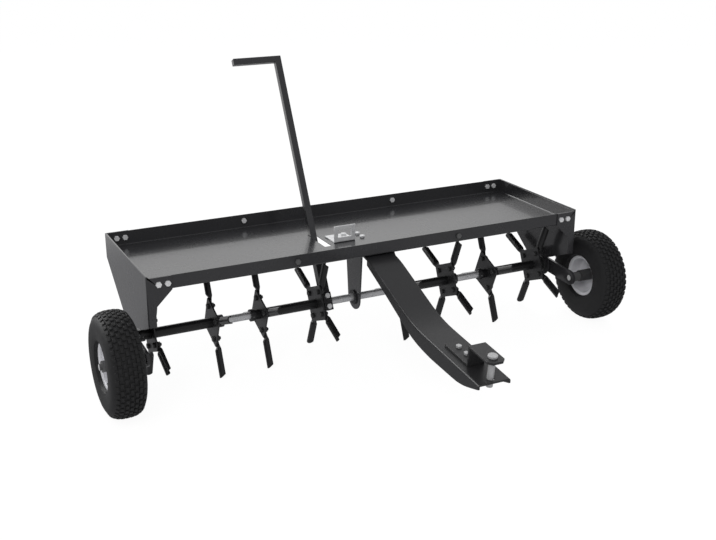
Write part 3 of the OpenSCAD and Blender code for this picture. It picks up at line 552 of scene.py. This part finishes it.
def turned(name, profile, centre):
    # Spins a closed cross section of (offset along the axle, radius) points about a wheel's axis.
    bpy.ops.object.select_all(action="DESELECT")
    bpy.ops.mesh.primitive_circle_add(vertices=len(profile), radius=0.01, location=(0, 0, 0))
    piece = bpy.context.object
    piece.name = name
    for spot, (offset, radius) in zip(piece.data.vertices, profile):
        spot.co = (centre.x + offset, centre.y, centre.z + radius)
    bpy.ops.object.mode_set(mode="EDIT")
    bpy.ops.mesh.select_all(action="SELECT")
    bpy.ops.mesh.spin(steps=wheel_steps, angle=2 * math.pi, center=centre, axis=(1, 0, 0))
    bpy.ops.mesh.select_all(action="SELECT")
    bpy.ops.mesh.remove_doubles(threshold=0.00001)
    bpy.ops.mesh.normals_make_consistent(inside=False)
    bpy.ops.object.mode_set(mode="OBJECT")
    return piece


def crown(offset):
    # Radius of the tyre's outside at an offset from its middle.
    return tyre_mid + tyre_up * (1 - abs(offset / tyre_half_w) ** tyre_power) ** (1 / tyre_power)


def tyre_profile():
    half_w = tyre_half_w - rib_rise
    power = 2 / tyre_power
    over = []
    for step in range(29):
        angle = math.pi * step / 28
        across, up = math.cos(angle), abs(math.sin(angle))
        over.append((math.copysign(half_w * abs(across) ** power, across),
                     tyre_mid + (tyre_up - lug_depth) * up ** power))
    low = []
    for step in range(1, 9):
        angle = math.pi / 2 * step / 9
        radius = tyre_mid - tyre_down * math.sin(angle) ** power
        rib = rib_rise if step in rib_steps else 0.0
        if radius > flange_r + 0.001:
            low.append((half_w * math.cos(angle) ** power + rib, radius))
    left = [(-offset, radius) for offset, radius in low]
    right = list(reversed(low))
    foot = [(-bead_half, flange_r), (-bead_half, tyre_seat), (bead_half, tyre_seat), (bead_half, flange_r)]
    return over + left + foot + right


def lug_row(centre, offset, phase):
    # One block with a tapered, rounded top, laid on the crown and repeated around the tyre.
    bpy.ops.object.select_all(action="DESELECT")
    bpy.ops.mesh.primitive_cube_add(size=1, location=(0, 0, 0))
    lug = bpy.context.object
    lug.scale = (lug_w if abs(offset) < 0.03 else outer_lug_w, lug_l, lug_depth + lug_root)
    bpy.ops.object.transform_apply(location=False, rotation=False, scale=True)
    pick(lug, "FACE", lambda at, way: way.z > 0.9)
    bpy.ops.transform.resize(value=(lug_taper, lug_taper, 1), center_override=(0, 0, 0))
    bpy.ops.mesh.bevel(offset=lug_edge, segments=2, affect="EDGES", clamp_overlap=False)
    pick(lug, "FACE", lambda at, way: way.z < -0.9)
    bpy.ops.mesh.delete(type="FACE")
    bpy.ops.object.mode_set(mode="OBJECT")
    lean = -math.atan((crown(offset + 0.0005) - crown(offset - 0.0005)) / 0.001)
    sink = Matrix.Translation((0, 0, -(lug_depth + lug_root) / 2 - lug_sink))
    stand = Matrix.Translation((offset, 0, crown(offset))) @ Matrix.Rotation(lean, 4, "Y") @ sink
    turn = Matrix.Rotation(2 * math.pi * phase / lug_count, 4, "X")
    lug.matrix_world = Matrix.Translation(centre) @ turn @ stand
    bpy.ops.object.transform_apply(location=True, rotation=True, scale=True)
    pivot = bpy.data.objects.new("tread_pivot", None)
    bpy.context.scene.collection.objects.link(pivot)
    step = Matrix.Rotation(2 * math.pi / lug_count, 4, "X")
    pivot.matrix_world = Matrix.Translation(centre) @ step @ Matrix.Translation(-centre)
    bpy.context.view_layer.update()
    around = lug.modifiers.new("around", "ARRAY")
    around.count = lug_count
    around.use_relative_offset = False
    around.use_object_offset = True
    around.offset_object = pivot
    bpy.ops.object.modifier_apply(modifier=around.name)
    bpy.data.objects.remove(pivot)
    return lug


def joined(pieces):
    # Joins all the pieces into the first.
    only(pieces[0])
    for piece in pieces[1:]:
        piece.select_set(True)
    bpy.ops.object.join()
    return pieces[0]


for side in ("left", "right"):
    node = side + "_tyre"
    centre = sum(corners(node), Vector()) / 2
    tyre = turned(node + "_made", tyre_profile(), centre)
    tyre = joined([tyre] + [lug_row(centre, offset, phase) for offset, phase in lug_rows])
    smooth_faces(tyre, 42)
    hand_over(tyre, rubber, side + "_wheel", "tyre", node)


# Rims: pressed steel rims with rolled edges and a dished disc, coated in light grey. The hub tube is welded
# into the disc, its zinc darkened as painted shade, and the rubber valve with its bright cap stands in the
# barrel.
rim_grey, rim_surface, rim_place = new_finish("rim_grey_coat")
rim_cloud = rim_place.speckle(0.04, 4.0, 0.6)
rim_fleck = rim_place.speckle(0.0008, 2.0)
rim_cloud.colour((0.62, 0.62, 0.645), (0.74, 0.74, 0.765)).feed(rim_surface, "Base Color")
(0.42 + (rim_cloud - 0.5) * 0.2 + (rim_fleck - 0.5) * 0.16).feed(rim_surface, "Roughness")
rim_fleck.bump(0.00012, 0.35).feed(rim_surface, "Normal")
rim_surface.inputs["Metallic"].default_value = 0.05
# A darker copy of the zinc: painted shade for the hubs in the wheels' shaded middles.
hub_shade_zinc = zinc_plate("hub_shade_zinc", 0.08, 0.45)

hub_edge = 0.0009
valve_edge = 0.0005
valve_cap_l = 0.0081
rim_profile = [
    (0.0290, 0.0575), (0.0305, 0.0578), (0.0310, 0.0566), (0.0308, 0.0530), (0.0296, 0.0500),
    (0.0270, 0.0490), (0.0200, 0.0488), (0.0125, 0.0486), (0.0098, 0.0470), (0.0090, 0.0430),
    (0.0090, 0.0360), (0.0098, 0.0320), (0.0125, 0.0280), (0.0160, 0.0225), (0.0176, 0.0190),
    (0.0179, 0.0161), (0.0149, 0.0161), (0.0146, 0.0185), (0.0128, 0.0218), (0.0095, 0.0268),
    (0.0068, 0.0312), (0.0060, 0.0360), (0.0060, 0.0430), (0.0052, 0.0470), (0.0025, 0.0486),
    (-0.0200, 0.0488), (-0.0270, 0.0490), (-0.0296, 0.0500), (-0.0308, 0.0530), (-0.0310, 0.0566),
    (-0.0305, 0.0578), (-0.0290, 0.0575), (-0.0281, 0.0550), (-0.0276, 0.0525), (-0.0260, 0.0519),
    (0.0260, 0.0519), (0.0276, 0.0525), (0.0281, 0.0550)
]
for side, sign in (("left", -1), ("right", 1)):
    body = side + "_wheel"
    centre = sum(corners(side + "_tyre"), Vector()) / 2
    rim = turned(side + "_rim_made", [(sign * offset, radius) for offset, radius in rim_profile], centre)
    smooth_faces(rim, 50)
    hand_over(rim, rim_grey, body, "rim_grey", side + "_rim")
    dress(side + "_hub", hub_shade_zinc, body, "zinc", hub_edge)
    cap_foot = corners(side + "_valve")[1].z - valve_cap_l
    valve = dress(side + "_valve", rubber, body, "valve_rubber", valve_edge)
    second_finish(valve, bright_zinc, lambda at, way: at.z > cap_foot)


# Gangs: four sets of spoons that turn on the shaft. Each has a steel tube, two square plates welded to it
# and eight spoons bolted to the plates' corners. A spoon is pressed from flat strip into a trough with a
# slanted tip, whose bottom sinks past the plate's corner. Satin black, with zinc plated bolts; the tubes and
# spoons take a darker copy of the satin black and the bolts a darker zinc, painted shade for the gangs' place
# under the tray.
# A darker copy of the satin black: painted shade for the gangs' tubes and spoons under the tray.
gang_shade_black = powder_coat("gang_black_paint", (0.009, 0.009, 0.0095), 0.36, 0.0017, 0.1)
# A darker copy of the zinc: painted shade for the gang bolts under the tray.
gang_bolt_shade_zinc = zinc_plate("gang_bolt_shade_zinc", 0.06, 0.45)
tube_edge = 0.0008
gang_plate_edge = 0.0006
gang_lean = (-1, 1, 1, 1)
spoon_turn = math.radians(22.5)
spoon_half_w = 0.01
spoon_t = 0.0035
spoon_depth = 0.014
spoon_edge = 0.0005
shank_mid = 0.00375
shank_end, press_run = 0.05, 0.02
plate_corner, sink_run = 0.0635, 0.01
trough_back = -0.0045
tip_r = 0.144
tip_cut = 0.01
spoon_rows = (0.021, 0.036, 0.05, 0.0533, 0.0567, 0.06, 0.0635, 0.066, 0.0685, 0.071, 0.0735,
              0.085, 0.1, 0.12, tip_r)


def ramp(value, start, run):
    # Eases from 0 to 1 over a run from its start.
    share = min(1, max(0, (value - start) / run))
    return share * share * (3 - 2 * share)


def trough_point(share):
    # Place across a spoon's trough: a half round bottom and two straight sides.
    bend = spoon_half_w - spoon_t / 2
    quarter_arc = bend * math.pi / 2
    run = abs(share) * (quarter_arc + spoon_depth - spoon_half_w)
    if run > quarter_arc:
        return trough_back + spoon_half_w + run - quarter_arc, math.copysign(bend, share)
    angle = run / bend
    return trough_back + spoon_half_w - bend * math.cos(angle), math.copysign(bend * math.sin(angle), share)


spoon = new_strip("spoon_pressing", 12, len(spoon_rows))
for spot in spoon.data.vertices:
    share = spot.co.x
    out = row_of(spot, spoon_rows)
    press = ramp(out, shank_end, press_run)
    sink = ramp(out, plate_corner, sink_run)
    x, y = trough_point(share)
    x = shank_mid + (x - shank_mid) * (press if x > shank_mid else sink)
    y = share * spoon_half_w + (y - share * spoon_half_w) * press
    if out == tip_r:
        out -= tip_cut * (x - trough_back) / spoon_depth
    spot.co = (x, y, -out)
give_gauge(spoon, spoon_t, 0)
face_out()
break_edges(spoon, spoon_edge, 2, 60)
smooth_faces(spoon, 45)

for gang in range(1, 5):
    body = "gang%d" % gang
    dress(body + "_tube", gang_shade_black, body, "satin_black", tube_edge)
    for part in ("_left_plate", "_right_plate"):
        dress(body + part, satin_black, body, "satin_black", gang_plate_edge)
    copies = []
    tube_mid = sum(corners(body + "_tube"), Vector()) / 2
    for end, part in ((-1, "_left_plate"), (1, "_right_plate")):
        plate_mid = sum(corners(body + part), Vector()) / 2
        middle = Vector((plate_mid.x, tube_mid.y, tube_mid.z))
        for quarter in range(4):
            turn = end * gang_lean[gang - 1] * spoon_turn + quarter * math.pi / 2
            blade = bpy.data.objects.new("%s_spoon" % body, spoon.data.copy())
            bpy.context.scene.collection.objects.link(blade)
            blade.data.transform(Matrix.Translation(middle) @ Matrix.Rotation(turn, 4, "X"))
            copies.append(blade)
    blades = joined(copies)
    blades.name = body + "_spoons_made"
    hand_over(blades, gang_shade_black, body, "satin_black", body + "_spoons")
    dress(body + "_bolts", gang_bolt_shade_zinc, body, "zinc", bolt_edge)
bpy.data.objects.remove(spoon)


# Hitch pin: a turned steel pin with a flat head, zinc plated. It drops through the strap and the drawbar
# and hangs by its head, so it lifts straight out.
pin_edge = 0.0012
dress("hitch_pin", soft_zinc, "pin", "zinc", pin_edge, 3)


# Studio: a pale sweep of floor, two large soft lamps and a white surround that is dimmer in front, where
# the photographer stands. The floor stays white to the camera and keeps the machine's soft shadow.
def ray_kinds(tree):
    # Rays that see the backdrop straight, and rays that see it in a glossy surface.
    camera_ray, transmission_ray, glossy_ray = (
        Tone(tree).make("ShaderNodeLightPath", {}, {}, "Is %s Ray" % kind)
        for kind in ("Camera", "Transmission", "Glossy"))
    return camera_ray + transmission_ray, glossy_ray


floor_drop = 0.0008
bpy.ops.object.select_all(action="DESELECT")
bpy.ops.mesh.primitive_plane_add(size=30, location=(0, 0, -floor_drop))
floor = bpy.context.object
floor.name = "studio_floor"
floor_finish = bpy.data.materials.new("pale_floor")
floor_finish.use_nodes = True
tree = floor_finish.node_tree
tree.nodes.clear()
floor_place = Tone(tree).make("ShaderNodeTexCoord", {}, {}, "Object")
straight, glossy = ray_kinds(tree)
pale = floor_place.speckle(0.4, 3.0).colour((0.78, 0.78, 0.78), (0.82, 0.82, 0.82))
matt = Tone(tree).make("ShaderNodeBsdfDiffuse", {}, {"Color": pale})
white = Tone(tree).make("ShaderNodeEmission", {}, {"Strength": 1.09})
seen = Tone(tree).make("ShaderNodeMixShader", {}, {0: 0.14, 1: white, 2: matt})
sheen = floor_place.axis("Y").between(1.1, 2.0).colour((0.34, 0.34, 0.35), (0.9, 0.9, 0.9))
mirrored = Tone(tree).make("ShaderNodeEmission", {}, {"Color": sheen})
shown = straight.blend(glossy.blend(matt, mirrored), seen)
shown.feed(tree.nodes.new("ShaderNodeOutputMaterial"), "Surface")
floor.data.materials.append(floor_finish)

surround = bpy.data.worlds.new("studio_surround")
surround.use_nodes = True
tree = surround.node_tree
tree.nodes.clear()
direction = Tone(tree).make("ShaderNodeTexCoord", {}, {}, "Generated")
straight, glossy = ray_kinds(tree)
behind = direction.axis("Y").between(-0.3, 0.45)
overhead = direction.axis("Z").between(0.36, 0.8)
to_right = direction.axis("X").between(-0.5, 0.2)
far_right = direction.axis("X").between(0.42, 0.68)
glow = behind * (1 - overhead * 0.8) * (0.15 + to_right * 0.85) * (1 - far_right * 0.55)
glow_colour = glow.colour((0.33, 0.33, 0.34), (1.1, 1.1, 1.1))
toward_lamp = direction.make("ShaderNodeVectorMath", {"operation": "DOT_PRODUCT"},
                             {0: direction, 1: (-0.42, 0.74, 0.52)}, "Value").between(0.9, 0.985)
soft = Tone(tree).make("ShaderNodeBackground", {}, {"Color": (0.55, 0.55, 0.56, 1)})
mirrored = Tone(tree).make("ShaderNodeBackground", {}, {"Color": glow_colour})
softbox = Tone(tree).make("ShaderNodeBackground", {}, {"Color": (1, 1, 1, 1), "Strength": 5.0})
plain = Tone(tree).make("ShaderNodeBackground", {}, {"Color": (1, 1, 1, 1)})
shown = straight.blend(glossy.blend(soft, toward_lamp.blend(mirrored, softbox)), plain)
shown.feed(tree.nodes.new("ShaderNodeOutputWorld"), "Surface")
bpy.context.scene.world = surround

lamp_aim = Vector((0, 0.1, 0.25))
for name, place, size, power in (("key_lamp", (-2.2, -2.6, 3.0), 2.2, 70),
                                 ("rear_lamp", (1.6, 2.4, 3.2), 2.4, 45)):
    lamp_data = bpy.data.lights.new(name, "AREA")
    lamp_data.shape = "SQUARE"
    lamp_data.size = size
    lamp_data.energy = power
    lamp = bpy.data.objects.new(name, lamp_data)
    bpy.context.scene.collection.objects.link(lamp)
    lamp.location = place
    lamp.visible_glossy = False
    lamp.rotation_euler = (lamp_aim - Vector(place)).to_track_quat("-Z", "Y").to_euler()

sensor = 36
focal_px, picture_w_px = 1066, 716
camera_data = bpy.data.cameras.new("camera")
camera = bpy.data.objects.new("camera", camera_data)
bpy.context.scene.collection.objects.link(camera)
camera.location = (-1.2055, -2.2142, 1.1704)
camera.rotation_euler = (math.radians(70.35), 0, math.radians(-26.75))
camera_data.sensor_width = sensor
camera_data.lens = focal_px * sensor / picture_w_px
bpy.context.scene.camera = camera
bpy.context.scene.view_settings.view_transform = "Standard"
